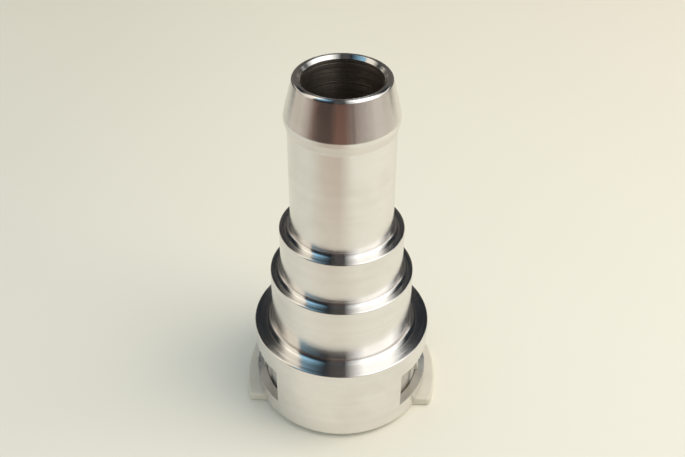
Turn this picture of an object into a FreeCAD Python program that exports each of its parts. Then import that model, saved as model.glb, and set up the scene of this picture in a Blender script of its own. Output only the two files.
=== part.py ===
import FreeCAD, Part
import math
import os

# Heater hose quick connector. A turned aluminium body pushes over a beaded heater
# tube, seals on it with two O-rings and is held there by a moulded snap retainer.
# The rubber heater hose is pushed over the barb at the other end.
# Sizes are in millimetres. +Z runs along the axis from the mouth of the socket to
# the tip of the barb. z = 0 is the plane that the retainer's flange stands on, and
# the two release ears point along +X and -X.

# The heater tube that the socket takes
tube_diameter = 19.05
bead_diameter = 24.0
bead_thickness = 2.6

# Outside of the turned body
socket_diameter = 34.2
socket_length = 16.25
seal_housing_diameter = 27.1
seal_housing_length = 12.5
pilot_housing_diameter = 23.2
pilot_housing_length = 9.8
neck_diameter = 19.0
neck_length = 21.3
barb_diameter = 20.1
barb_back_length = 1.8
barb_land_length = 0.8
barb_cone_length = 7.0
tip_diameter = 16.8
socket_fillet = 2.0
seal_housing_fillet = 1.0
pilot_housing_fillet = 1.5
edge_bevel = 0.2
ridge_bevel = 0.15
tip_rounding = 0.6

# Inside of the turned body
passage_diameter = 14.0
passage_bevel = 0.55
socket_wall = 1.7
socket_roof = 3.0
seal_roof = 2.9
pilot_roof = 2.7
mouth_bevel = 0.5
bore_bevel = 0.3

# Windows milled through the socket wall on +X and -X
window_width = 24.4
window_height = 8.1
window_sill = 3.75

# O-rings, the spacer between them and the bushing that closes their bore.
# ring_section is the diameter of the O-ring's cord when nothing squeezes it.
ring_section = 2.95
ring_squeeze = 0.16
spacer_length = 2.4
spacer_bevel = 0.3
bushing_flange_thickness = 1.2
bushing_flange_play = 0.5
bushing_lead = 0.8

# Moulded retainer
flange_thickness = 0.9
flange_inset = 0.8
flange_bevel = 0.2
ear_width = 16.0
ear_reach = 2.2
ear_thickness = 2.0
ear_face_radius = 30.0
ear_corner_rounding = 0.8
ear_rounding = 0.45
arm_width = 19.0
arm_wall = 1.4
arm_root_fillet = 0.6
pad_width = 11.2
pad_height = 0.45
hook_width = 5.2
hook_reach = 0.5
hook_land = 0.6
hook_ramp_height = 2.2
tooth_width = 9.0
tooth_land = 1.1
tooth_ramp_height = 3.4
tooth_rounding = 0.4

# Clearances
seat_gap = 0.05
tube_play = 0.125
bushing_play = 0.2
bead_play = 0.4
bead_float = 0.6
arm_play = 0.15
tooth_play = 0.8
notch_play = 0.15

# Radii that follow from the sizes above
tube_radius = tube_diameter / 2
socket_radius = socket_diameter / 2
seal_housing_radius = seal_housing_diameter / 2
pilot_housing_radius = pilot_housing_diameter / 2
neck_radius = neck_diameter / 2
barb_radius = barb_diameter / 2
tip_radius = tip_diameter / 2
passage_radius = passage_diameter / 2
chamber_radius = socket_radius - socket_wall
seal_bore_radius = tube_radius + ring_section * (1 - ring_squeeze)
pilot_bore_radius = tube_radius + tube_play
flange_radius = socket_radius - flange_inset
flange_hole_radius = bead_diameter / 2 + bead_play
pad_radius = chamber_radius - arm_play
arm_radius = pad_radius - pad_height
arm_inner_radius = arm_radius - arm_wall
hook_radius = chamber_radius + hook_reach
ear_radius = socket_radius + ear_reach
tooth_radius = tube_radius + tooth_play

# A squeezed O-ring is flat against the bore and the tube and round at its two ends.
# Its section keeps the area of the round cord, so it grows along the axis.
ring_outer_radius = seal_bore_radius - seat_gap
ring_width = ring_outer_radius - tube_radius
ring_flat = (math.pi * ring_section ** 2 / 4 - math.pi * ring_width ** 2 / 4) / ring_width
ring_height = ring_flat + ring_width

# Heights above the standing plane
mouth_z = flange_thickness + seat_gap
socket_top_z = mouth_z + socket_length
seal_housing_top_z = socket_top_z + seal_housing_length
pilot_housing_top_z = seal_housing_top_z + pilot_housing_length
barb_foot_z = pilot_housing_top_z + neck_length
barb_land_z = barb_foot_z + barb_back_length
barb_ridge_z = barb_land_z + barb_land_length
tip_z = barb_ridge_z + barb_cone_length
chamber_roof_z = socket_top_z - socket_roof
seal_bore_roof_z = seal_housing_top_z - seal_roof
pilot_bore_roof_z = pilot_housing_top_z - pilot_roof
sill_z = mouth_z + window_sill
inner_ring_top_z = seal_bore_roof_z - seat_gap
spacer_top_z = inner_ring_top_z - ring_height - seat_gap
spacer_bottom_z = spacer_top_z - spacer_length
outer_ring_top_z = spacer_bottom_z - seat_gap
bushing_top_z = outer_ring_top_z - ring_height - seat_gap
bushing_shoulder_z = chamber_roof_z - seat_gap
bushing_bottom_z = bushing_shoulder_z - bushing_flange_thickness
arm_top_z = bushing_bottom_z - seat_gap
tooth_top_z = bushing_bottom_z - bead_thickness - bead_float
hook_bottom_z = sill_z + seat_gap


def corner(radius, height, bevel=0.0, fillet=0.0):
    """Return one corner of a turned outline, with the bevel or fillet that it carries."""
    return (FreeCAD.Vector(radius, 0, height), bevel, fillet)


def corner_edge(before, here, after):
    """Return the start, the edge or None, and the end of one corner of an outline."""
    point, bevel, fillet = here
    towards_before = (before[0] - point).normalize()
    towards_after = (after[0] - point).normalize()
    if fillet > 0:
        half_angle = towards_before.getAngle(towards_after) / 2
        trim = fillet / math.tan(half_angle)
        start = point + towards_before * trim
        end = point + towards_after * trim
        inwards = (towards_before + towards_after).normalize()
        middle = point + inwards * (fillet / math.sin(half_angle) - fillet)
        return start, Part.Arc(start, middle, end).toShape(), end
    if bevel > 0:
        start = point + towards_before * bevel
        end = point + towards_after * bevel
        return start, Part.makeLine(start, end), end
    return point, None, point


def turned(corners):
    """Revolve a closed outline of corners about the axis into one solid."""
    count = len(corners)
    blends = [corner_edge(corners[i - 1], corners[i], corners[(i + 1) % count]) for i in range(count)]
    edges = []
    for i in range(count):
        start, edge, end = blends[i]
        next_start = blends[(i + 1) % count][0]
        if edge is not None:
            edges.append(edge)
        edges.append(Part.makeLine(end, next_start))
    outline = Part.Face(Part.Wire(edges))
    return outline.revolve(FreeCAD.Vector(0, 0, 0), FreeCAD.Vector(0, 0, 1), 360)


def band_across(width, bottom, top, reach):
    """Return a box along X that is as wide as width in Y, for cutting or keeping both sides."""
    corner_point = FreeCAD.Vector(-reach, -width / 2, bottom)
    return Part.makeBox(2 * reach, width, top - bottom, corner_point)


def make_connector_body():
    """Return the turned body: barb, neck, two housings and the socket with its windows."""
    outline = [
        corner(passage_radius, tip_z, bevel=passage_bevel),
        corner(tip_radius, tip_z, fillet=tip_rounding),
        corner(barb_radius, barb_ridge_z, bevel=ridge_bevel),
        corner(barb_radius, barb_land_z, fillet=barb_land_length / 2),
        corner(neck_radius, barb_foot_z),
        corner(neck_radius, pilot_housing_top_z, fillet=pilot_housing_fillet),
        corner(pilot_housing_radius, pilot_housing_top_z, bevel=edge_bevel),
        corner(pilot_housing_radius, seal_housing_top_z, fillet=seal_housing_fillet),
        corner(seal_housing_radius, seal_housing_top_z, bevel=edge_bevel),
        corner(seal_housing_radius, socket_top_z, fillet=socket_fillet),
        corner(socket_radius, socket_top_z, bevel=edge_bevel),
        corner(socket_radius, mouth_z, bevel=mouth_bevel),
        corner(chamber_radius, mouth_z, bevel=mouth_bevel),
        corner(chamber_radius, chamber_roof_z),
        corner(seal_bore_radius, chamber_roof_z, bevel=mouth_bevel),
        corner(seal_bore_radius, seal_bore_roof_z),
        corner(pilot_bore_radius, seal_bore_roof_z, bevel=bore_bevel),
        corner(pilot_bore_radius, pilot_bore_roof_z),
        corner(passage_radius, pilot_bore_roof_z, bevel=bore_bevel),
    ]
    body = turned(outline)
    windows = band_across(window_width, sill_z, sill_z + window_height, ear_radius)
    notch_top = ear_thickness + notch_play
    notches = band_across(ear_width + 2 * notch_play, 0, notch_top, ear_radius)
    return body.cut([windows, notches])


def make_ear():
    """Return the release ear on +X, a slab with a slightly curved face and a rounded rim."""
    half_width = ear_width / 2
    end_x = ear_radius - ear_face_radius + math.sqrt(ear_face_radius ** 2 - half_width ** 2)
    left_back = FreeCAD.Vector(0, half_width, 0)
    left_end = FreeCAD.Vector(end_x, half_width, 0)
    middle = FreeCAD.Vector(ear_radius, 0, 0)
    right_end = FreeCAD.Vector(end_x, -half_width, 0)
    right_back = FreeCAD.Vector(0, -half_width, 0)
    plan = Part.Wire([
        Part.makeLine(right_back, right_end),
        Part.Arc(right_end, middle, left_end).toShape(),
        Part.makeLine(left_end, left_back),
        Part.makeLine(left_back, right_back),
    ])
    slab = Part.Face(plan).extrude(FreeCAD.Vector(0, 0, ear_thickness))
    tiny = 0.001
    upright = [edge for edge in slab.Edges
               if edge.BoundBox.ZLength > tiny and edge.BoundBox.XMin > end_x - tiny]
    slab = slab.makeFillet(ear_corner_rounding, upright)
    rim = [edge for edge in slab.Edges if edge.BoundBox.ZLength < tiny and edge.BoundBox.XMax > tiny]
    slab = slab.makeFillet(ear_rounding, rim)
    return slab.cut(Part.makeCylinder(arm_inner_radius, ear_thickness))


def make_retainer():
    """Return the moulded retainer: flange, two ears and two arms with hooks and teeth."""
    flange = turned([
        corner(flange_hole_radius, 0, bevel=flange_bevel),
        corner(flange_radius, 0, bevel=flange_bevel),
        corner(flange_radius, flange_thickness),
        corner(flange_hole_radius, flange_thickness, bevel=flange_bevel),
    ])
    arms = turned([
        corner(flange_hole_radius, flange_thickness / 2),
        corner(arm_radius, flange_thickness / 2),
        corner(arm_radius, arm_top_z, bevel=flange_bevel),
        corner(arm_inner_radius, arm_top_z, bevel=flange_bevel),
        corner(arm_inner_radius, flange_thickness, fillet=arm_root_fillet),
        corner(flange_hole_radius, flange_thickness),
    ])
    pads = turned([
        corner(arm_inner_radius, flange_thickness / 2),
        corner(pad_radius, flange_thickness / 2),
        corner(pad_radius, arm_top_z, bevel=pad_height),
        corner(arm_inner_radius, arm_top_z, bevel=flange_bevel),
    ])
    hooks = turned([
        corner(arm_inner_radius, hook_bottom_z),
        corner(hook_radius, hook_bottom_z),
        corner(hook_radius, hook_bottom_z + hook_land),
        corner(pad_radius, hook_bottom_z + hook_land + hook_ramp_height),
        corner(arm_inner_radius, hook_bottom_z + hook_land + hook_ramp_height),
    ])
    teeth = turned([
        corner(arm_radius, tooth_top_z),
        corner(tooth_radius, tooth_top_z, fillet=tooth_rounding),
        corner(tooth_radius, tooth_top_z - tooth_land, fillet=tooth_rounding),
        corner(arm_inner_radius, tooth_top_z - tooth_land - tooth_ramp_height),
        corner(arm_radius, tooth_top_z - tooth_land - tooth_ramp_height),
    ])
    ear = make_ear()
    opposite_ear = ear.mirror(FreeCAD.Vector(0, 0, 0), FreeCAD.Vector(1, 0, 0))
    solid = flange.fuse([ear, opposite_ear])
    for ring, width in ((arms, arm_width), (pads, pad_width), (hooks, hook_width), (teeth, tooth_width)):
        solid = solid.fuse(ring.common(band_across(width, 0, arm_top_z, ear_radius)))
    return solid.removeSplitter()


def make_o_ring(top_z):
    """Return one squeezed O-ring lying in the seal bore below the given height."""
    bottom_z = top_z - ring_height
    middle_radius = (tube_radius + ring_outer_radius) / 2
    inner_low = FreeCAD.Vector(tube_radius, 0, bottom_z + ring_width / 2)
    inner_high = FreeCAD.Vector(tube_radius, 0, top_z - ring_width / 2)
    outer_low = FreeCAD.Vector(ring_outer_radius, 0, bottom_z + ring_width / 2)
    outer_high = FreeCAD.Vector(ring_outer_radius, 0, top_z - ring_width / 2)
    top = FreeCAD.Vector(middle_radius, 0, top_z)
    bottom = FreeCAD.Vector(middle_radius, 0, bottom_z)
    edges = [
        Part.Arc(inner_high, top, outer_high).toShape(),
        Part.makeLine(outer_high, outer_low),
        Part.Arc(outer_low, bottom, inner_low).toShape(),
        Part.makeLine(inner_low, inner_high),
    ]
    section = Part.Face(Part.Wire(edges))
    return section.revolve(FreeCAD.Vector(0, 0, 0), FreeCAD.Vector(0, 0, 1), 360)


def make_spacer():
    """Return the plain ring that keeps the two O-rings apart."""
    outer_radius = seal_bore_radius - seat_gap
    inner_radius = tube_radius + bushing_play
    return turned([
        corner(inner_radius, spacer_bottom_z, bevel=spacer_bevel),
        corner(outer_radius, spacer_bottom_z, bevel=spacer_bevel),
        corner(outer_radius, spacer_top_z, bevel=spacer_bevel),
        corner(inner_radius, spacer_top_z, bevel=spacer_bevel),
    ])


def make_bushing():
    """Return the flanged bushing that closes the seal bore and guides the tube."""
    spigot_radius = seal_bore_radius - seat_gap
    flange_edge_radius = chamber_radius - bushing_flange_play
    inner_radius = tube_radius + bushing_play
    return turned([
        corner(inner_radius, bushing_bottom_z, bevel=bushing_lead),
        corner(flange_edge_radius, bushing_bottom_z, bevel=spacer_bevel),
        corner(flange_edge_radius, bushing_shoulder_z, bevel=spacer_bevel),
        corner(spigot_radius, bushing_shoulder_z),
        corner(spigot_radius, bushing_top_z, bevel=spacer_bevel),
        corner(inner_radius, bushing_top_z, bevel=spacer_bevel),
    ])


def main():
    """Build every piece and write each one to its own STEP file."""
    pieces = {
        "connector_body": make_connector_body(),
        "retainer": make_retainer(),
        "inner_o_ring": make_o_ring(inner_ring_top_z),
        "outer_o_ring": make_o_ring(outer_ring_top_z),
        "o_ring_spacer": make_spacer(),
        "seal_bushing": make_bushing(),
    }
    os.makedirs("parts", exist_ok=True)
    for name, shape in pieces.items():
        shape.exportStep(os.path.join("parts", name + ".step"))
        print(name, "solids", len(shape.Solids), "valid", shape.isValid(), "volume", round(shape.Volume, 1))


main()
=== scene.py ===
"""Looks of the heater hose quick connector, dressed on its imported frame.

The connector stands on its mouth on a pale table. Lengths in the classes are in
millimetres, as on a drawing, and become metres when a mesh is written.
"""

import logging
import math
from dataclasses import dataclass, field
from enum import Enum

import bpy
import numpy as np
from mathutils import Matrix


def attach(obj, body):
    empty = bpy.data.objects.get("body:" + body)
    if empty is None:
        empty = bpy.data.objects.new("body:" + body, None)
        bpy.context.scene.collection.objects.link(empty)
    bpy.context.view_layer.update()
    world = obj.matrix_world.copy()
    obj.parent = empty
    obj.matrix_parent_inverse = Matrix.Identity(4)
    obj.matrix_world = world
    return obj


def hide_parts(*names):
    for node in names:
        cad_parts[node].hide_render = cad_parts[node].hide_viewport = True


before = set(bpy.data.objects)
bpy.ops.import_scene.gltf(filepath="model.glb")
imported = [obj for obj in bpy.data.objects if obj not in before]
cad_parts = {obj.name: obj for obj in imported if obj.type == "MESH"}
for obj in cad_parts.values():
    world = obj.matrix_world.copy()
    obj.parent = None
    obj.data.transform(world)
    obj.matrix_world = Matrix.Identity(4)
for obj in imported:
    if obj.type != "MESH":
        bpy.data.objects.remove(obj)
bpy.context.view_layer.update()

MM = 0.001
TURN = 2 * math.pi
UV_NAME = "turning"
NUMBER = "NodeSocketFloat"
VECTOR = "NodeSocketVector"
LOG = logging.getLogger("connector")

# Points within this many mm of a radius or a height count as on it.
CLOSE = 0.01

# Nearly all of a noise lies between these two.
NOISE_SPAN = (0.3, 0.7)

# Faces that meet at more than this many degrees keep a sharp edge.
SHARP_DEGREES = 25

Colour = tuple[float, float, float]
Span = tuple[float, float]
Material = bpy.types.Material
Node = bpy.types.Node
Socket = bpy.types.NodeSocket
Piece = bpy.types.Object


class Finish(Enum):
    """How a face of the turned body was cut, or for one face tinted as a painted reflection; this is also its
    material's index.
    """

    TURNED = 0
    BORED = 1
    MILLED = 2
    FACED = 3
    REFLECTION_TINT = 4


# Shader graphs


@dataclass
class Graph:
    """A node tree that is written one node at a time: a material's, a world's or a group's."""

    tree: bpy.types.NodeTree

    def add(self, kind: str, **settings: object) -> Node:
        """Make one node.

        Args:
            kind: the node's type name.
            settings: properties of the node, such as its operation.

        Returns:
            The new node.
        """
        node = self.tree.nodes.new(kind)
        for key, value in settings.items():
            setattr(node, key, value)
        return node

    def put(self, socket: Socket, value: object) -> None:
        """Link another node's output to a socket, or set the socket's own value.

        Args:
            socket: the input to fill.
            value: an output socket, a number or a colour.
        """
        if isinstance(value, Socket):
            self.tree.links.new(value, socket)
        else:
            socket.default_value = value

    def fill(self, node: Node, values: dict) -> Node:
        """Fill several inputs of a node.

        Args:
            node: the node.
            values: what goes into each input, by the input's name or number.

        Returns:
            The node.
        """
        for key, value in values.items():
            self.put(node.inputs[key], value)
        return node

    def maths(self, operation: str, *values: object) -> Socket:
        """Work out one number from others, which are sockets or numbers."""
        return self.fill(self.add("ShaderNodeMath", operation=operation), dict(enumerate(values))).outputs[0]

    def mapped(self, value: Socket, low: object, high: object, to_low: float = 0.0,
               to_high: float = 1.0) -> Socket:
        """Carry a number from the range low to high to another range, and hold it there."""
        node = self.add("ShaderNodeMapRange", clamp=True)
        return self.fill(node, dict(enumerate((value, low, high, to_low, to_high)))).outputs[0]

    def mixed(self, share: object, first: object, second: object) -> Socket:
        """Mix two colours, with this share of the second: the node's sockets 6, 7 and 2 are colours."""
        node = self.add("ShaderNodeMix", data_type="RGBA")
        return self.fill(node, {0: share, 6: first, 7: second}).outputs[2]

    def place(self) -> Socket:
        """Give the object's own coordinates, in metres."""
        return self.add("ShaderNodeTexCoord").outputs["Object"]

    def split(self, vector: Socket) -> object:
        """Take a vector apart into the sockets X, Y and Z."""
        return self.fill(self.add("ShaderNodeSeparateXYZ"), {0: vector}).outputs

    def turning_place(self) -> object:
        """Give the place on the UV map: X is the share of the turn, Y the length along the outline."""
        return self.split(self.add("ShaderNodeUVMap", uv_map=UV_NAME).outputs[0])

    def noise(self, place: Socket, scale: object, detail: float = 2.0) -> Socket:
        """Make a cloudy noise from 0 to 1, with this many blobs per unit."""
        node = self.add("ShaderNodeTexNoise")
        return self.fill(node, {"Vector": place, "Scale": scale, "Detail": detail}).outputs["Fac"]

    def line_noise(self, length: Socket, detail: float = 2.0) -> Socket:
        """Make a noise from 0 to 1 along one number, with one blob per unit."""
        node = self.add("ShaderNodeTexNoise", noise_dimensions="1D")
        return self.fill(node, {"W": length, "Scale": 1.0, "Detail": detail}).outputs["Fac"]


@dataclass
class Effects:
    """The shader groups that several finishes share, each built once.

    A ring strays by up to wander_reach mm, wander_scale times in a metre.
    """

    wander_scale: float = 60.0
    wander_reach: float = 0.12
    built: dict[str, bpy.types.NodeTree] = field(default_factory=dict)

    def _start(self, name: str, inputs: list[str], outputs: dict[str, str]) -> tuple[Graph, Node, Node]:
        """Open a new group with its sockets.

        Args:
            name: the group's name.
            inputs: its inputs, which are all numbers.
            outputs: each output with its socket type.

        Returns:
            The group's graph, its input node and its output node.
        """
        tree = bpy.data.node_groups.new(name, "ShaderNodeTree")
        for label in inputs:
            tree.interface.new_socket(label, in_out="INPUT", socket_type=NUMBER)
        for label, kind in outputs.items():
            tree.interface.new_socket(label, in_out="OUTPUT", socket_type=kind)
        self.built[name] = tree
        graph = Graph(tree)
        return graph, graph.add("NodeGroupInput"), graph.add("NodeGroupOutput")

    def use(self, graph: Graph, name: str, **values: float) -> Node:
        """Place a group in a material.

        Args:
            graph: the material's graph.
            name: turning_marks, handling, soft_edges or moulded_skin.
            values: numbers for its inputs.

        Returns:
            The group's node.
        """
        if name not in self.built:
            getattr(self, "_make_" + name)()
        return graph.fill(graph.add("ShaderNodeGroup", node_tree=self.built[name]), values)

    def _make_turning_marks(self) -> None:
        """Rings that a lathe tool leaves, read from the length along the turned outline.

        A noise along that length gives each ring its slope, and the normal leans by that
        slope along the outline and never along the ring. A second, slower noise gives
        the bands that the eye can see. The rings stray a little, as the tool does.
        The normal map's green is the slope halved, plus a half.
        """
        graph, given, out = self._start("turning_marks", ["Pitch", "Slope", "Band Pitch", "Band Slope"],
                                        {"Normal": VECTOR, "Bands": NUMBER})
        stray = graph.noise(graph.place(), self.wander_scale, detail=1.0)
        length = graph.maths("MULTIPLY_ADD", stray, self.wander_reach, graph.turning_place()["Y"])
        slope = 0.0
        for kind in ("", "Band "):
            bands = graph.line_noise(graph.maths("DIVIDE", length, given.outputs[kind + "Pitch"]))
            height = graph.maths("SUBTRACT", bands, 0.5)
            slope = graph.maths("MULTIPLY_ADD", height, given.outputs[kind + "Slope"], slope)
        green = graph.maths("MULTIPLY_ADD", slope, 0.5, 0.5)
        colour = graph.fill(graph.add("ShaderNodeCombineColor"), {0: 0.5, 1: green, 2: 1.0})
        lean = graph.fill(graph.add("ShaderNodeNormalMap", uv_map=UV_NAME), {"Color": colour.outputs[0]})
        graph.fill(out, {"Normal": lean.outputs[0], "Bands": bands})

    def _make_handling(self) -> None:
        """Faint smudges from handling: a soft noise, kept where it is high."""
        graph, given, out = self._start("handling", ["Size", "Cover"], {"Mask": NUMBER})
        scale = graph.maths("DIVIDE", 1 / MM, given.outputs["Size"])
        cloud = graph.noise(graph.place(), scale, detail=3.0)
        softness = 0.2
        bare = graph.maths("SUBTRACT", 1.0, given.outputs["Cover"])
        start = graph.maths("MULTIPLY_ADD", bare, 0.5, softness)
        graph.fill(out, {"Mask": graph.mapped(graph.maths("SUBTRACT", cloud, start), 0.0, softness)})

    def _make_soft_edges(self) -> None:
        """A mask that fades at a card's sides and at its first row, and the place along its rows.

        The ramp of the first row starts just below 0, so that a Near of 0 means no fade.
        """
        graph, given, out = self._start("soft_edges", ["First", "Last", "Near"],
                                        {"Mask": NUMBER, "Depth": NUMBER})
        place = graph.turning_place()
        across, depth = place["X"], place["Y"]
        rise = graph.mapped(across, 0.0, given.outputs["First"])
        fall = graph.mapped(graph.maths("SUBTRACT", 1.0, across), 0.0, given.outputs["Last"])
        near = graph.mapped(depth, -0.001, given.outputs["Near"])
        mask = graph.maths("MULTIPLY", graph.maths("MULTIPLY", rise, fall), near)
        graph.fill(out, {"Mask": mask, "Depth": depth})

    def _make_moulded_skin(self) -> None:
        """The fine uneven skin of a moulded part, as a height."""
        graph, given, out = self._start("moulded_skin", ["Size"], {"Height": NUMBER})
        scale = graph.maths("DIVIDE", 1 / MM, given.outputs["Size"])
        graph.fill(out, {"Height": graph.noise(graph.place(), scale)})


def empty_graph(owner: Material | bpy.types.World) -> Graph:
    """Clear the node tree of a material or a world.

    Args:
        owner: the material or the world.

    Returns:
        The graph of its empty tree.
    """
    owner.use_nodes = True
    owner.node_tree.nodes.clear()
    return Graph(owner.node_tree)


def new_material(name: str) -> tuple[Material, Graph, Node]:
    """Make an empty material with its shader.

    Args:
        name: the material's name.

    Returns:
        The material, its graph and its Principled shader.
    """
    material = bpy.data.materials.new(name)
    graph = empty_graph(material)
    shader = graph.add("ShaderNodeBsdfPrincipled")
    graph.put(graph.add("ShaderNodeOutputMaterial").inputs["Surface"], shader.outputs[0])
    return material, graph, shader


@dataclass(frozen=True)
class CutMetal:
    """Bright aluminium, as a lathe tool or a milling cutter leaves it.

    pitch and band_pitch are the widths in mm of the fine rings and of the bands, and
    slope and band_slope how far they lean. Bands and smudges dull the metal.
    """

    name: str
    colour: Colour = (0.87, 0.85, 0.83)
    dull_colour: Colour = (0.78, 0.75, 0.72)
    roughness: float = 0.14
    dull_roughness: float = 0.17
    grain: float = 1.0
    grain_turn: float = 0.25
    pitch: float = 0.07
    slope: float = 0.18
    band_pitch: float = 1.4
    band_slope: float = 0.02
    band_dulling: float = 0.3
    smudge_size: float = 7.0
    smudge_cover: float = 0.45
    smudge_dulling: float = 0.5

    def material(self, effects: Effects) -> Material:
        """Build the finish.

        Args:
            effects: the shared shader groups.

        Returns:
            The material.
        """
        material, graph, shader = new_material(self.name)
        marks = effects.use(graph, "turning_marks", **{
            "Pitch": self.pitch, "Slope": self.slope,
            "Band Pitch": self.band_pitch, "Band Slope": self.band_slope,
        })
        smudges = effects.use(graph, "handling", Size=self.smudge_size, Cover=self.smudge_cover)
        smudged = graph.maths("MULTIPLY", smudges.outputs["Mask"], self.smudge_dulling)
        banded = graph.mapped(marks.outputs["Bands"], *NOISE_SPAN, to_high=self.band_dulling)
        shade = graph.maths("ADD", smudged, banded)
        graph.fill(shader, {
            "Base Color": graph.mixed(shade, (*self.colour, 1), (*self.dull_colour, 1)),
            "Roughness": graph.mapped(smudged, 0.0, 1.0, self.roughness, self.dull_roughness),
            "Metallic": 1.0,
            "Anisotropic": self.grain,
            "Anisotropic Rotation": self.grain_turn,
            "Tangent": graph.add("ShaderNodeTangent", direction_type="UV_MAP", uv_map=UV_NAME).outputs[0],
            "Normal": marks.outputs["Normal"],
        })
        return material


@dataclass(frozen=True)
class MouldedPlastic:
    """A moulded plastic, natural or dyed, with a faint skin.

    The inner colour is painted shade on the part inside the socket, where the socket's wall
    shades it. It comes in between the two given heights. Lengths are in mm.
    """

    name: str
    colour: Colour
    worn_colour: Colour
    roughness: float = 0.42
    worn_roughness: float = 0.1
    smudge_size: float = 5.0
    smudge_cover: float = 0.5
    smudge_share: float = 0.6
    glow: float = 0.0
    glow_depth: float = 1.2
    glow_reach: Colour = (1.0, 0.85, 0.6)
    skin: float = 0.25
    skin_size: float = 0.35
    skin_depth: float = 0.02
    # Painted shade inside the socket: its colour and the heights between which it comes in.
    recess_shade_colour: Colour | None = None
    recess_shade_heights: Span = (2.6, 4.6)

    def material(self, effects: Effects) -> Material:
        """Build the finish.

        Args:
            effects: the shared shader groups.

        Returns:
            The material.
        """
        material, graph, shader = new_material(self.name)
        smudges = effects.use(graph, "handling", Size=self.smudge_size, Cover=self.smudge_cover)
        worn = graph.maths("MULTIPLY", smudges.outputs["Mask"], self.smudge_share)
        colour = graph.mixed(worn, (*self.colour, 1), (*self.worn_colour, 1))
        # Painted shade: the part inside the socket is darkened between the two heights.
        if self.recess_shade_colour:
            low, high = self.recess_shade_heights
            height = graph.mapped(graph.split(graph.place())["Z"], low * MM, high * MM)
            colour = graph.mixed(height, colour, (*self.recess_shade_colour, 1))
        skin = effects.use(graph, "moulded_skin", Size=self.skin_size)
        bump = graph.fill(graph.add("ShaderNodeBump"), {
            "Strength": self.skin, "Distance": self.skin_depth * MM, "Height": skin.outputs["Height"],
        })
        graph.fill(shader, {
            "Base Color": colour,
            "Roughness": graph.maths("MULTIPLY_ADD", worn, self.worn_roughness, self.roughness),
            "Subsurface Weight": self.glow,
            "Subsurface Radius": self.glow_reach,
            "Subsurface Scale": self.glow_depth * MM,
            "Normal": bump.outputs[0],
        })
        return material


TURNED = CutMetal("turned_aluminium")
# Painted shade: the bored metal is darker and browner than the turned metal, standing in for the shade inside
# the bore; its greater roughness is real.
BORED = CutMetal("bored_aluminium", (0.56, 0.49, 0.43), (0.42, 0.37, 0.33), roughness=0.3,
                 dull_roughness=0.4, grain=0.7, pitch=0.16, slope=0.62, band_pitch=0.3, band_slope=0.46)
MILLED = CutMetal("milled_aluminium", (0.78, 0.76, 0.73), (0.70, 0.68, 0.65), roughness=0.34, grain=0.5,
                  slope=0.2)
FACED = CutMetal("faced_aluminium", roughness=0.18, slope=0.8, band_pitch=0.5, band_slope=0.4)
# Painted reflection: a warmer, pinker metal below the barb's land stands in for the table it reflects.
REFLECTION_TINT = CutMetal("reflection_tinted_aluminium", (0.85, 0.81, 0.77), (0.78, 0.74, 0.70), roughness=0.2)
# The nylon's inner colour is painted shade on the arms inside the socket.
NYLON = MouldedPlastic("natural_nylon", (0.70, 0.655, 0.55), (0.62, 0.575, 0.47), glow=0.3,
                       recess_shade_colour=(0.56, 0.53, 0.46))
GUIDE_PLASTIC = MouldedPlastic("dark_guide_plastic", (0.035, 0.035, 0.038), (0.05, 0.05, 0.05))
RUBBER = MouldedPlastic("seal_rubber", (0.02, 0.02, 0.021), (0.035, 0.034, 0.033), roughness=0.5, skin=0.4)


# Turned shapes


@dataclass(frozen=True)
class Corner:
    """One corner of a turned outline, with the finish of the run that leaves it."""

    radius: float
    height: float
    rounding: float = 0.0
    finish: Finish = Finish.TURNED


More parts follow.
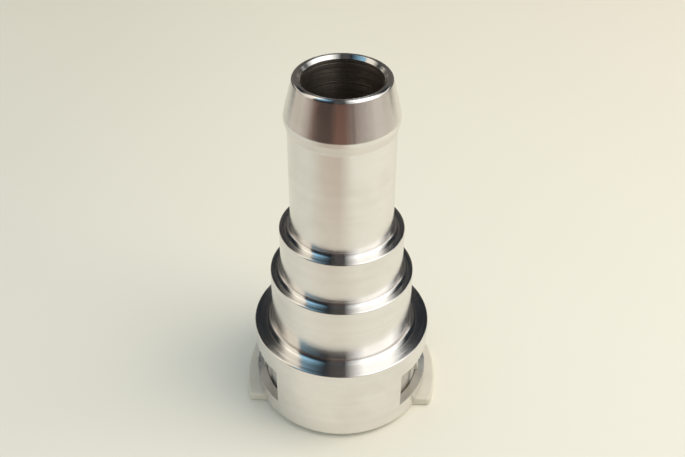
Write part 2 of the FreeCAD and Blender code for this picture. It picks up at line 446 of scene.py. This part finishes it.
@dataclass
class Outline:
    """A closed turned outline as rows of points: one ring of the mesh for each row."""

    radius: np.ndarray
    height: np.ndarray
    finish: np.ndarray
    length: np.ndarray

    @classmethod
    def through(cls, corners: list[Corner], arc_step: float = 7.5, run_step: float = 2.5,
                end_step: float = 0.04, undivided: float = 0.2) -> "Outline":
        """Round the corners and divide the runs between them.

        A rounded corner becomes points on the arc that touches both runs. A run gets a
        point near each end, so that smooth shading stays flat along it, and evenly
        spaced points between.

        Args:
            corners: the outline's corners in order, the outside on the left.
            arc_step: degrees between the points of an arc.
            run_step: the longest stretch of a run in mm.
            end_step: the stretch at each end of a run in mm.
            undivided: the longest run in mm that gets no points.

        Returns:
            The outline's rows. The finish and the stretch of row i are those of the face
            from row i to row i + 1, and length has one more entry than there are rows.
        """
        points: list[np.ndarray] = []
        finishes: list[int] = []
        blends = [cls._arc(corners, i, arc_step) for i in range(len(corners))]
        for i, arc in enumerate(blends):
            finish = corners[i].finish.value
            points.extend(arc)
            finishes.extend([finish] * len(arc))
            start = arc[-1]
            run = blends[(i + 1) % len(blends)][0] - start
            size = float(np.hypot(*run))
            if size > undivided:
                inner = np.linspace(end_step, size - end_step, max(2, math.ceil(size / run_step) + 1))
                points.extend(start + run / size * t for t in inner)
                finishes.extend([finish] * len(inner))
        rows = np.array(points)
        steps = np.hypot(*(np.roll(rows, -1, axis=0) - rows).T)
        length = np.concatenate([[0.0], np.cumsum(steps)])
        return cls(rows[:, 0], rows[:, 1], np.array(finishes), length)

    @staticmethod
    def _arc(corners: list[Corner], index: int, arc_step: float) -> np.ndarray:
        """Points of one rounded corner.

        Args:
            corners: the outline's corners.
            index: which corner.
            arc_step: degrees between the points.

        Returns:
            One point for a sharp corner, or the points of its arc.
        """
        three = [corners[index - 1], corners[index], corners[(index + 1) % len(corners)]]
        before, here, after = np.array([[corner.radius, corner.height] for corner in three])
        rounding = corners[index].rounding
        if rounding <= 0:
            return here[None, :]
        before = (before - here) / np.hypot(*(before - here))
        after = (after - here) / np.hypot(*(after - here))
        half = math.acos(float(np.clip(before @ after, -1, 1))) / 2
        bisector = (before + after) / np.hypot(*(before + after))
        centre = here + bisector * rounding / math.sin(half)
        start = here + before * rounding / math.tan(half) - centre
        end = here + after * rounding / math.tan(half) - centre
        first = math.atan2(start[1], start[0])
        sweep = (math.atan2(end[1], end[0]) - first + math.pi) % TURN - math.pi
        count = max(3, math.ceil(abs(math.degrees(sweep)) / arc_step) + 1)
        angles = first + sweep * np.linspace(0, 1, count)
        return centre + rounding * np.stack([np.cos(angles), np.sin(angles)], axis=1)


def write_mesh(name: str, points: np.ndarray, faces: list, places: np.ndarray,
               materials: list[Material], finishes: object = 0) -> Piece:
    """Write arrays into a Blender mesh.

    Args:
        name: the piece's name.
        points: its points in mm, one row each.
        faces: for each face, its points' numbers.
        places: for each face corner, its place on the UV map.
        materials: the piece's materials.
        finishes: each face's material index, or one for all.

    Returns:
        The new object, at the origin and linked to the scene.
    """
    mesh = bpy.data.meshes.new(name)
    mesh.from_pydata((points * MM).tolist(), [], faces)
    mesh.uv_layers.new(name=UV_NAME).data.foreach_set("uv", places.astype(np.float32).ravel())
    mesh.polygons.foreach_set("material_index", np.full(len(faces), finishes, np.int32))
    mesh.polygons.foreach_set("use_smooth", np.ones(len(faces), bool))
    mesh.set_sharp_from_angle(angle=math.radians(SHARP_DEGREES))
    for material in materials:
        mesh.materials.append(material)
    mesh.update()
    piece = bpy.data.objects.new(name, mesh)
    bpy.context.scene.collection.objects.link(piece)
    return piece


def grid_of(*parts: object) -> np.ndarray:
    """Join the coordinates of a grid, each given for its rows, its columns or both."""
    return np.stack(np.broadcast_arrays(*parts), axis=2)


def ring_grid(outline: Outline, angles: np.ndarray) -> tuple[np.ndarray, np.ndarray, np.ndarray]:
    """Revolve an outline: a point is its row's radius at its column's angle.

    Args:
        outline: the closed outline.
        angles: the angle of each point, rows by columns, in radians from +X.

    Returns:
        Points in mm, quads as rows by columns by 4 numbers, and each quad corner's place
        on the UV map: the share of the turn and the length along the outline in mm.
    """
    rows, columns = angles.shape
    radius, height = outline.radius[:, None], outline.height[:, None]
    points = grid_of(radius * np.cos(angles), radius * np.sin(angles), height).reshape(-1, 3)
    row = np.arange(rows)[:, None]
    column = np.arange(columns)[None, :]
    below = (row + 1) % rows
    beside = (column + 1) % columns
    quads = grid_of(row * columns + column, below * columns + column,
                    below * columns + beside, row * columns + beside)
    share, share_next = column / columns, (column + 1) / columns
    along, along_next = outline.length[:-1, None], outline.length[1:, None]
    turns = ((share, along), (share, along_next), (share_next, along_next), (share_next, along))
    places = np.stack([grid_of(*turn) for turn in turns], axis=2)
    return points, quads, places


@dataclass
class ConnectorBody:
    """The turned aluminium body with its barb, two housings and windowed socket."""

    mouth: float = 0.95
    socket_radius: float = 17.1
    socket_top: float = 17.2
    seal_housing_radius: float = 13.55
    seal_housing_top: float = 29.7
    pilot_housing_radius: float = 11.6
    pilot_housing_top: float = 39.5
    neck_radius: float = 9.5
    barb_foot: float = 60.8
    barb_radius: float = 10.05
    barb_land: float = 62.6
    barb_ridge: float = 63.4
    tip: float = 70.4
    tip_radius: float = 8.4
    passage_radius: float = 7.0
    chamber_radius: float = 15.4
    chamber_roof: float = 14.2
    seal_bore_radius: float = 12.003
    seal_bore_roof: float = 26.8
    pilot_bore_radius: float = 9.65
    pilot_bore_roof: float = 36.8
    socket_fillet: float = 1.3
    seal_housing_fillet: float = 0.95
    pilot_housing_fillet: float = 1.0
    fillet_lean: float = 58.0
    fillet_play: float = 0.96
    edge_rounding: float = 0.22
    mouth_rounding: float = 0.55
    tip_chamfer: float = 0.55
    chamfer_foot_rounding: float = 0.05
    chamfer_top_rounding: float = 0.1
    tip_rounding: float = 0.6
    ridge_rounding: float = 1.0
    land_rounding: float = 0.4
    barb_foot_rounding: float = 0.5
    seal_lead_rounding: float = 0.5
    bore_rounding: float = 0.3
    crease_width: float = 0.14
    crease_depth: float = 0.03
    wall_crease_depth: float = 0.018
    crease_gap: float = 0.04
    crease_height: float = 1.05
    window_half_width: float = 12.2
    window_bottom: float = 4.7
    window_top: float = 12.8
    notch_half_width: float = 8.15
    notch_top: float = 2.15
    notch_columns: int = 20
    window_columns: int = 14
    wall_columns: int = 34
    materials: list[Material] = field(default_factory=list)

    def shelf(self, wall: float, height: float, fillet: float, edge: float) -> list[Corner]:
        """Corners of one shelf, from the foot of the wall above it to its outer edge.

        The fillet touches the shelf and meets the wall at an angle. A fine crease beside
        it on the shelf and another above it on the wall show where the tool stopped.

        Args:
            wall: radius of the wall above.
            height: height of the shelf.
            fillet: radius of the fillet.
            edge: radius of the shelf's outer edge.

        Returns:
            The corners in order.
        """
        half = self.crease_width / 2
        lean = math.radians(self.fillet_lean)
        rise = fillet * (1 - math.cos(lean))
        upper = height + self.crease_height
        outer = wall + fillet * math.sin(lean) + self.crease_gap + half
        return [
            Corner(wall, upper + half),
            Corner(wall - self.wall_crease_depth, upper),
            Corner(wall, upper - half),
            Corner(wall, height + rise),
            Corner(wall + rise / math.tan(lean), height, self.fillet_play * fillet),
            Corner(outer - half, height),
            Corner(outer, height - self.crease_depth),
            Corner(outer + half, height, 0.0, Finish.FACED),
            Corner(edge, height, self.edge_rounding),
        ]

    def corners(self) -> list[Corner]:
        """List the outline's corners, from the tip down the outside and up the inside.

        Returns:
            The corners in order.
        """
        wall = [(self.mouth, self.mouth_rounding), (self.notch_top, 0.0), (self.window_bottom, 0.0),
                (self.window_top, 0.0)]
        bores = [(self.seal_bore_radius, self.chamber_roof, self.seal_lead_rounding),
                 (self.seal_bore_radius, self.seal_bore_roof, 0.0),
                 (self.pilot_bore_radius, self.seal_bore_roof, self.bore_rounding),
                 (self.pilot_bore_radius, self.pilot_bore_roof, 0.0),
                 (self.passage_radius, self.pilot_bore_roof, self.bore_rounding)]
        return [
            Corner(self.passage_radius, self.tip - self.tip_chamfer, self.chamfer_foot_rounding),
            Corner(self.passage_radius + self.tip_chamfer, self.tip, self.chamfer_top_rounding, Finish.FACED),
            Corner(self.tip_radius, self.tip, self.tip_rounding),
            Corner(self.barb_radius, self.barb_ridge, self.ridge_rounding),
            # The run below the barb's land is tinted warmer: a painted reflection of the table.
            Corner(self.barb_radius, self.barb_land, self.land_rounding, Finish.REFLECTION_TINT),
            Corner(self.neck_radius, self.barb_foot, self.barb_foot_rounding),
            *self.shelf(self.neck_radius, self.pilot_housing_top, self.pilot_housing_fillet,
                        self.pilot_housing_radius),
            *self.shelf(self.pilot_housing_radius, self.seal_housing_top, self.seal_housing_fillet,
                        self.seal_housing_radius),
            *self.shelf(self.seal_housing_radius, self.socket_top, self.socket_fillet, self.socket_radius),
            *(Corner(self.socket_radius, height, rounding) for height, rounding in wall[::-1]),
            *(Corner(self.chamber_radius, height, rounding, Finish.BORED) for height, rounding in wall),
            Corner(self.chamber_radius, self.chamber_roof, 0.0, Finish.BORED),
            *(Corner(*bore, Finish.BORED) for bore in bores),
        ]

    def angles(self, outline: Outline) -> np.ndarray:
        """Angles of the columns, which follow the straight sides of windows and notches.

        In each quarter the first columns fill the notch, the next reach the window's
        side, and the rest are wall. A side lies at the angle whose sine is its half width
        over the row's radius, so that it stays straight from the outside to the inside.

        Args:
            outline: the body's outline.

        Returns:
            The angle of each point in radians, rows by columns.
        """
        in_wall = outline.radius > self.chamber_radius - CLOSE
        in_wall &= outline.height < self.chamber_roof - CLOSE
        radius = np.where(in_wall, outline.radius, self.socket_radius)[:, None]
        notch = np.arcsin(self.notch_half_width / radius)
        window = np.arcsin(self.window_half_width / radius)
        spans = ((0.0, notch, self.notch_columns), (notch, window, self.window_columns),
                 (window, TURN / 4, self.wall_columns))
        quarter = np.hstack([start + (end - start) * np.arange(count) / count for start, end, count in spans])
        top = np.full_like(radius, TURN / 4)
        half = np.hstack([quarter, top, TURN / 2 - quarter[:, :0:-1]])
        return np.hstack([half, half + TURN / 2])

    def column_kinds(self) -> tuple[np.ndarray, np.ndarray]:
        """Say which columns of faces lie in a notch and which in a window.

        Returns:
            Two masks, one entry for each column.
        """
        window_side = self.notch_columns + self.window_columns
        quarter = np.arange(window_side + self.wall_columns)
        column = np.concatenate([quarter, quarter[::-1]] * 2)
        return column < self.notch_columns, column < window_side

    def row_at(self, outline: Outline, radius: float, height: float) -> int:
        """Find the number of the outline's row at a point."""
        return int(np.argmin(np.hypot(outline.radius - radius, outline.height - height)))

    def cut_faces(self, outline: Outline, columns: int) -> list[list[int]]:
        """Faces of the milled cuts: floors, ceilings and sides of windows and notches.

        Args:
            outline: the body's outline.
            columns: how many columns the grid has.

        Returns:
            For each face, its points' numbers.
        """
        notch, window = self.column_kinds()
        outer_top, outer_bottom, outer_notch, inner_top, inner_bottom, inner_notch = (
            self.row_at(outline, radius, height) for radius in (self.socket_radius, self.chamber_radius)
            for height in (self.window_top, self.window_bottom, self.notch_top))
        faces: list[list[int]] = []
        for mask, outer, inner, upwards in ((window, outer_top, inner_top, False),
                                            (window, outer_bottom, inner_bottom, True),
                                            (notch, outer_notch, inner_notch, False)):
            column = np.flatnonzero(mask)
            beside = (column + 1) % columns
            level = np.stack([outer * columns + column, inner * columns + column,
                              inner * columns + beside, outer * columns + beside], axis=1)
            faces.extend((level[:, ::-1] if upwards else level).tolist())
        window_rows = np.r_[outer_top:outer_bottom + 1, inner_bottom:inner_top + 1]
        notch_rows = np.arange(outer_notch, inner_notch + 1)
        window_side = self.notch_columns + self.window_columns
        for side, rows in ((window_side, window_rows), (self.notch_columns, notch_rows)):
            for column, flip in ((side, True), (columns // 2 - side, False),
                                 (columns // 2 + side, True), (columns - side, False)):
                face = rows * columns + column
                faces.append((face[::-1] if flip else face).tolist())
        return faces

    def build(self) -> Piece:
        """Make the body's mesh and put it in place of its solid.

        Returns:
            The new object.
        """
        outline = Outline.through(self.corners())
        angles = self.angles(outline)
        points, quads, places = ring_grid(outline, angles)
        notch, window = self.column_kinds()
        middle_radius, middle_height = [(along + np.roll(along, -1)) / 2
                                        for along in (outline.radius, outline.height)]
        on_wall = middle_radius > self.chamber_radius - CLOSE
        window_rows = on_wall & (middle_height > self.window_bottom) & (middle_height < self.window_top)
        notch_rows = on_wall & (middle_height < self.notch_top)
        kept = ~((window_rows[:, None] & window[None, :]) | (notch_rows[:, None] & notch[None, :]))
        faces = quads[kept].tolist()
        finishes = np.broadcast_to(outline.finish[:, None], kept.shape)[kept]
        cuts = self.cut_faces(outline, angles.shape[1])
        spots = points[np.concatenate([np.array(face) for face in cuts])]
        cut_places = np.stack([spots[:, 0], spots[:, 1] + spots[:, 2]], axis=1)
        all_places = np.concatenate([places[kept].reshape(-1, 2), cut_places])
        all_finishes = np.concatenate([finishes, np.full(len(cuts), Finish.MILLED.value)])
        piece = write_mesh("turned_body", points, faces + cuts, all_places, self.materials, all_finishes)
        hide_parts("connector_body")
        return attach(piece, "root")


@dataclass
class SealStack:
    """The two squeezed O-rings, the spacer between them and the bushing below them."""

    bore_radius: float = 11.953
    tube_radius: float = 9.525
    guide_radius: float = 9.725
    bushing_flange_radius: float = 14.9
    bushing_bottom: float = 12.95
    bushing_shoulder: float = 14.15
    bushing_top: float = 17.528
    ring_height: float = 3.336
    outer_ring_bottom: float = 17.578
    spacer_bottom: float = 20.964
    spacer_top: float = 23.364
    inner_ring_bottom: float = 23.414
    edge_rounding: float = 0.35
    lead_rounding: float = 0.8
    columns: int = 128

    def section(self, inner: float, bottom: float, top: float, rounding: float) -> list[Corner]:
        """Outline a ring that fills the seal bore, with all four edges rounded."""
        places = ((inner, top), (self.bore_radius, top), (self.bore_radius, bottom), (inner, bottom))
        return [Corner(*place, rounding) for place in places]

    def ring(self, name: str, corners: list[Corner], node: str, material: Material) -> Piece:
        """Make one ring in place of its solid, by revolving its outline.

        Args:
            name: the piece's name.
            corners: the outline's corners.
            node: the solid that it stands for.
            material: its rubber or plastic.

        Returns:
            The new object.
        """
        outline = Outline.through(corners)
        angles = np.arange(self.columns) * TURN / self.columns
        points, quads, places = ring_grid(outline, np.tile(angles, (len(outline.radius), 1)))
        piece = write_mesh(name, points, quads.reshape(-1, 4).tolist(), places, [material])
        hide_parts(node)
        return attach(piece, "root")

    def build(self, rubber: Material, plastic: Material) -> list[Piece]:
        """Make the four rings.

        Args:
            rubber: the O-rings' material.
            plastic: the spacer's and the bushing's material.

        Returns:
            The new objects.
        """
        # Nearly half the ring's width, so that its ends are round.
        ring_end = (self.bore_radius - self.tube_radius) / 2 - CLOSE
        inner, outer = (self.section(self.tube_radius, bottom, bottom + self.ring_height, ring_end)
                        for bottom in (self.inner_ring_bottom, self.outer_ring_bottom))
        spacer = self.section(self.guide_radius, self.spacer_bottom, self.spacer_top, self.edge_rounding)
        bushing = [
            Corner(self.guide_radius, self.bushing_top, self.edge_rounding),
            Corner(self.bore_radius, self.bushing_top, self.edge_rounding),
            Corner(self.bore_radius, self.bushing_shoulder),
            Corner(self.bushing_flange_radius, self.bushing_shoulder, self.edge_rounding),
            Corner(self.bushing_flange_radius, self.bushing_bottom, self.edge_rounding),
            Corner(self.guide_radius, self.bushing_bottom, self.lead_rounding),
        ]
        return [
            self.ring("rubber_ring_inner", inner, "inner_o_ring", rubber),
            self.ring("rubber_ring_outer", outer, "outer_o_ring", rubber),
            self.ring("ring_spacer", spacer, "o_ring_spacer", plastic),
            self.ring("flanged_bushing", bushing, "seal_bushing", plastic),
        ]


@dataclass
class RetainerMoulding:
    """The moulded snap retainer, which keeps its solid's shape."""

    node: str = "retainer"

    def dress(self, material: Material) -> Piece:
        """Give the retainer its plastic.

        Args:
            material: the natural plastic.

        Returns:
            The retainer's object.
        """
        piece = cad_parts[self.node]
        piece.data.materials.clear()
        piece.data.materials.append(material)
        return piece


# Studio


@dataclass(frozen=True)
class FanCard:
    """A lit card that one sector of every turned shelf reflects towards the camera.

    The sides are given as (from, to) in degrees round the axis, 0 at the camera and
    positive to the right: side where the ring marks lean least, and far_side where
    they lean most. lean is that range. soft is how many degrees each end fades over.
    strength falls from its first number, where the marks lean least, to its second.
    """

    name: str
    side: Span
    far_side: Span
    lean: Span
    soft: Span
    colour: Colour
    strength: Span


@dataclass(frozen=True)
class SkyCard:
    """A card on a sphere round the part, by azimuth and elevation in degrees (from, to).

    distance is the sphere's radius in metres, and soft is how many degrees of azimuth
    the card's two ends fade over.
    """

    name: str
    azimuth: Span
    elevation: Span
    distance: float
    soft: Span
    colour: Colour
    strength: float = 1.0


@dataclass
class Studio:
    """The pale table, the soft lamp, the cards that the metal reflects and the camera.

    Lengths are in metres and angles in degrees. The table's ramps say from where to
    where it grows warmer at the back and darker at the left, which is painted light and
    shade. Each fan card hangs a fan_step of the tent's radius inside the one before.
    """

    effects: Effects
    camera_reach: float = 0.13737
    camera_height: float = 0.1455
    camera_azimuth: float = 2.0
    camera_tilt: float = 52.13
    camera_roll: float = 0.26
    camera_clip: Span = (0.005, 20.0)
    camera_shift: float = 0.001
    sensor_width: float = 36.0
    lens: float = 49.51
    table_colour: Colour = (0.84, 0.815, 0.71)
    # Painted light and shade: the table is warmer towards the back and darker towards the left.
    table_back_warm_light_colour: Colour = (0.835, 0.775, 0.635)
    table_back_ramp: Span = (-0.03, 0.2)
    table_left_ramp: Span = (-0.025, -0.09)
    table_left_painted_shade: float = 0.05
    table_cloud_scale: float = 9.0
    table_cloud_dark: float = 0.02
    table_roughness: float = 0.9
    table_reach: float = 4.0
    table_grid: int = 9
    lamp_size: float = 0.42
    lamp_energy: float = 2.33
    lamp_colour: Colour = (1.0, 0.89, 0.76)
    lamp_place: tuple[float, float, float] = (0.32, -0.06, 0.52)
    lamp_tilt: Span = (-6.0, 29.0)
    fill_colour: Colour = (0.90, 1.0, 1.08)
    fill_strength: float = 0.62
    backdrop_colour: Colour = (0.84, 0.80, 0.67)
    tent_radius: float = 2.0
    tent_foot: float = -1.0
    tent_colour: Colour = (0.015, 0.019, 0.024)
    fan_reach: float = 0.95
    fan_step: float = 0.01
    settled_depth: float = 0.35
    # Painted shade seen in reflections alone: a darker, warmer patch of table in front of the part.
    shade_patch_x: Span = (-0.11, 0.04)
    shade_patch_y: Span = (-0.024, -0.16)
    shade_patch_height: float = 0.001
    shade_patch_grid: int = 8
    shade_patch_colour: Colour = (0.593, 0.503, 0.409)
    shade_patch_soft: Span = (0.3, 0.3)
    shade_patch_near: float = 0.5
    centre_height: float = 0.035
    shelf_view: float = 42.0

    # Each fan card: name, side, far_side, lean, soft, colour, strength.
    fans: tuple[FanCard, ...] = (
        FanCard("card_white", (2, 57), (2, 68), (8, 62), (17, 18), (1.0, 1.0, 0.97), (2.6, 1.5)),
        FanCard("card_dusk", (-13, 3), (-13, 3), (8, 62), (5, 2), (0.075, 0.075, 0.075), (1.0, 1.0)),
        FanCard("card_blue", (-38, -11), (-42, -13), (8, 40), (4, 17), (0.28, 0.52, 0.70), (1.3, 1.15)),
        FanCard("card_ivory", (-57, -31), (-64, -36), (8, 62), (12, 4), (1.0, 0.94, 0.82), (2.3, 0.92)),
    )
    # Each sky card: name, azimuth, elevation, distance, soft, colour, strength.
    skies: tuple[SkyCard, ...] = (
        SkyCard("flag_side", (98, 262), (-8.5, 10.5), 0.212, (8, 8), (0.05, 0.05, 0.05)),
        SkyCard("flag_pale", (-120, 118), (-10, 10.5), 0.206, (10, 10), (0.55, 0.49, 0.42)),
        SkyCard("flag_grey", (-84, 66), (-10, 10.5), 0.202, (28, 46), (0.25, 0.18, 0.15)),
        SkyCard("flag_red_brown", (-66, 26), (-10, 10.5), 0.200, (18, 22), (0.17, 0.075, 0.05)),
        SkyCard("flag_dark", (-58, -10), (-10, 10.5), 0.198, (14, 12), (0.06, 0.03, 0.022)),
        SkyCard("flag_streak", (18, 25), (-10, 3.6), 0.196, (2, 3), (0.08, 0.06, 0.05)),
        SkyCard("tip_white", (84, 130), (14, 24), 1.7, (10, 12), (1.0, 1.0, 0.97), 1.5),
        SkyCard("tip_ivory", (-142, -84), (14, 24), 1.7, (14, 10), (1.0, 0.94, 0.82), 1.1),
        SkyCard("backdrop_low", (84, 276), (-4, 14), 0.5, (10, 10), (0.22, 0.205, 0.185)),
        SkyCard("wall_behind", (120, 240), (12, 36), 1.6, (20, 20), (0.12, 0.11, 0.10)),
    )

    def around_centre(self, points: np.ndarray) -> np.ndarray:
        """Turn points by the camera's azimuth and raise them to the centre's height.

        Args:
            points: points in metres, seen from the centre with the camera at -Y.

        Returns:
            The points in the scene.
        """
        angle = math.radians(self.camera_azimuth)
        cosine, sine = math.cos(angle), math.sin(angle)
        turn = np.array([[cosine, -sine, 0.0], [sine, cosine, 0.0], [0.0, 0.0, 1.0]])
        return points @ turn.T + [0, 0, self.centre_height]

    def patch(self, name: str, points: np.ndarray, material: Material) -> Piece:
        """Make a sheet from a grid of points.

        Args:
            name: the sheet's name.
            points: rows by columns by 3, in metres.
            material: the sheet's material.

        Returns:
            The new object.
        """
        rows, columns = points.shape[:2]
        number = np.arange(rows * columns).reshape(rows, columns)
        quads = grid_of(number[:-1, :-1], number[1:, :-1], number[1:, 1:], number[:-1, 1:]).reshape(-1, 4)
        place = grid_of(number % columns / (columns - 1), number // columns / (rows - 1))
        place = place.reshape(-1, 2)[quads]
        sheet = write_mesh(name, points.reshape(-1, 3) / MM, quads.tolist(), place, [material])
        return sheet

    def card(self, name: str, points: np.ndarray, colour: Colour, strength: Span,
             soft: Span = (0.0, 0.0), width: float = 1.0, near: float = 0.0) -> None:
        """Make a card that shows in reflections alone.

        Args:
            name: the card's name.
            points: rows by columns by 3, in metres.
            colour: its light's colour.
            strength: its light's strength at its first row and from the settled depth on,
                1 for white paper in full light.
            soft: how far it fades in from its first column and out to its last.
            width: its width in the measure of soft.
            near: the share of its depth that it fades over at its first row.
        """
        material = bpy.data.materials.new(name)
        graph = empty_graph(material)
        light = graph.fill(graph.add("ShaderNodeEmission"), {"Color": (*colour, 1), "Strength": strength[1]})
        surface = light.outputs[0]
        if any(soft):
            edges = self.effects.use(graph, "soft_edges", First=soft[0] / width, Last=soft[1] / width,
                                     Near=near)
            glow = graph.mapped(edges.outputs["Depth"], 0.0, self.settled_depth, *strength)
            graph.put(light.inputs["Strength"], glow)
            clear = graph.add("ShaderNodeBsdfTransparent").outputs[0]
            blend = graph.add("ShaderNodeMixShader")
            surface = graph.fill(blend, {0: edges.outputs["Mask"], 1: clear, 2: surface}).outputs[0]
        graph.put(graph.add("ShaderNodeOutputMaterial").inputs["Surface"], surface)
        sheet = self.patch(name, points, material)
        for ray in ("camera", "diffuse", "shadow", "transmission"):
            setattr(sheet, "visible_" + ray, False)

    def fan_points(self, fan: FanCard, reach: float, columns: int = 24, rows: int = 16) -> np.ndarray:
        """Points of a fan card.

        The camera's line of sight, falling at the shelf view angle, is reflected in a
        facet whose normal leans from upright by the lean towards the side angle. The
        point lies in that direction.

        Args:
            fan: the card.
            reach: its distance in metres.
            columns: points round the axis.
            rows: points along the lean.

        Returns:
            Rows by columns by 3, in metres.
        """
        share = np.linspace(0, 1, columns)[None, :]
        depth = np.linspace(0, 1, rows)[:, None]
        first, last = [side + (far_side - side) * depth for side, far_side in zip(fan.side, fan.far_side)]
        side = np.radians(first + (last - first) * share)
        lean = np.radians(fan.lean[0] + (fan.lean[1] - fan.lean[0]) * depth)
        fall = math.radians(self.shelf_view)
        sight = np.array([0.0, math.cos(fall), -math.sin(fall)])
        normal = grid_of(np.sin(lean) * np.sin(side), -np.sin(lean) * np.cos(side), np.cos(lean))
        away = sight - 2 * (normal @ sight)[..., None] * normal
        return self.around_centre(away * reach)

    def sky_points(self, azimuth: Span, elevation: Span, distance: float,
                   columns: int = 32, rows: int = 12) -> np.ndarray:
        """Points of a card on a sphere: azimuth 0 at the camera and positive to the right.

        Args:
            azimuth: from and to, in degrees.
            elevation: from and to, in degrees.
            distance: the sphere's radius in metres.
            columns: points along the azimuth.
            rows: points along the elevation.

        Returns:
            Rows by columns by 3, in metres.
        """
        side = np.radians(np.linspace(*azimuth, columns))[None, :]
        up = np.radians(np.linspace(*elevation, rows))[:, None]
        away = grid_of(np.cos(up) * np.sin(side), -np.cos(up) * np.cos(side), np.sin(up))
        return self.around_centre(away * distance)

    def build_table(self) -> None:
        """Lay the pale table, with painted warmer light at the back and painted shade at the left, and uneven
        in tone.
        """
        material, graph, shader = new_material("table_paper")
        place = graph.place()
        parts = graph.split(place)
        # Painted light: warmer towards the back; painted shade: darker towards the left.
        depth = graph.mapped(parts["Y"], *self.table_back_ramp)
        ground = graph.mixed(depth, (*self.table_colour, 1), (*self.table_back_warm_light_colour, 1))
        left = graph.mapped(parts["X"], *self.table_left_ramp, to_high=self.table_left_painted_shade)
        cloud = graph.noise(place, self.table_cloud_scale)
        tone = graph.maths("ADD", left, graph.mapped(cloud, *NOISE_SPAN, to_high=self.table_cloud_dark))
        graph.fill(shader, {
            "Base Color": graph.mixed(tone, ground, (0.0, 0.0, 0.0, 1)),
            "Roughness": self.table_roughness,
            "Specular IOR Level": 0.0,
        })
        reach = np.linspace(-self.table_reach, self.table_reach, self.table_grid)
        self.patch("table", grid_of(reach[:, None], reach[None, :], 0.0), material)

    def build_lights(self) -> None:
        """Hang the soft lamp and fill the room with a plain light."""
        lamp = bpy.data.lights.new("window_lamp", "AREA")
        lamp.shape = "SQUARE"
        lamp.size = self.lamp_size
        lamp.energy = self.lamp_energy
        lamp.color = self.lamp_colour
        holder = bpy.data.objects.new("window_lamp", lamp)
        holder.location = self.lamp_place
        holder.rotation_euler = (*np.radians(self.lamp_tilt), 0)
        holder.visible_glossy = False
        bpy.context.scene.collection.objects.link(holder)
        world = bpy.data.worlds.new("room")
        graph = empty_graph(world)
        path = graph.add("ShaderNodeLightPath")
        seen = graph.maths("MAXIMUM", path.outputs["Is Camera Ray"], path.outputs["Is Glossy Ray"])
        seen = graph.maths("MAXIMUM", seen, path.outputs["Is Transmission Ray"])
        mix = graph.fill(graph.add("ShaderNodeMixShader"), {0: seen})
        shades = ((self.fill_colour, self.fill_strength), (self.backdrop_colour, 1.0))
        for socket, (colour, strength) in zip(mix.inputs[1:], shades):
            light = graph.add("ShaderNodeBackground")
            graph.put(socket, graph.fill(light, {"Color": (*colour, 1), "Strength": strength}).outputs[0])
        graph.put(graph.add("ShaderNodeOutputWorld").inputs[0], mix.outputs[0])
        bpy.context.scene.world = world

    def build_cards(self) -> None:
        """Put up the dark tent and the cards inside it."""
        tent = self.sky_points((-180, 180), (self.tent_foot, 90), self.tent_radius, columns=49, rows=13)
        self.card("dark_tent", tent, self.tent_colour, (1.0, 1.0))
        for number, fan in enumerate(self.fans):
            width = (fan.side[1] - fan.side[0] + fan.far_side[1] - fan.far_side[0]) / 2
            points = self.fan_points(fan, self.tent_radius * (self.fan_reach - self.fan_step * number))
            self.card(fan.name, points, fan.colour, fan.strength, fan.soft, width)
        for sky in self.skies:
            width = sky.azimuth[1] - sky.azimuth[0]
            points = self.sky_points(sky.azimuth, sky.elevation, sky.distance)
            self.card(sky.name, points, sky.colour, (sky.strength, sky.strength), sky.soft, width)
        # Painted shade: a darker, warmer sheet on the table in front of the part, shown only in reflections.
        x, y = [np.linspace(*span, self.shade_patch_grid) for span in (self.shade_patch_x, self.shade_patch_y)]
        spot = grid_of(x[None, :], y[:, None], self.shade_patch_height)
        self.card("shade_patch_reflection", spot, self.shade_patch_colour, (1.0, 1.0), self.shade_patch_soft,
                  near=self.shade_patch_near)

    def build_camera(self) -> None:
        """Set the camera at the photo's angle."""
        data = bpy.data.cameras.new("camera")
        data.sensor_width = self.sensor_width
        data.lens = self.lens
        data.clip_start, data.clip_end = self.camera_clip
        data.shift_x = self.camera_shift
        camera = bpy.data.objects.new("camera", data)
        angle = math.radians(self.camera_azimuth)
        reach = self.camera_reach
        camera.location = (reach * math.sin(angle), -reach * math.cos(angle), self.camera_height)
        tilt, roll = math.radians(self.camera_tilt), math.radians(self.camera_roll)
        camera.rotation_euler = (tilt, -roll * math.sin(tilt), angle + roll * math.cos(tilt))
        bpy.context.scene.collection.objects.link(camera)
        bpy.context.scene.camera = camera

    def build(self) -> None:
        """Set up the whole studio."""
        self.build_camera()
        self.build_table()
        self.build_lights()
        self.build_cards()
        bpy.context.scene.view_settings.view_transform = "Standard"


def main() -> None:
    """Build the studio and every piece, and log each piece's face count."""
    logging.basicConfig(level=logging.INFO, format="%(name)s: %(message)s")
    effects = Effects()
    metals = [finish.material(effects) for finish in (TURNED, BORED, MILLED, FACED, REFLECTION_TINT)]
    nylon, guide, rubber = [plastic.material(effects) for plastic in (NYLON, GUIDE_PLASTIC, RUBBER)]
    Studio(effects).build()
    body = ConnectorBody(materials=metals).build()
    retainer = RetainerMoulding().dress(nylon)
    for piece in (body, retainer, *SealStack().build(rubber, guide)):
        LOG.info("%s: %d faces", piece.name, len(piece.data.polygons))


if __name__ == "__main__":
    main()
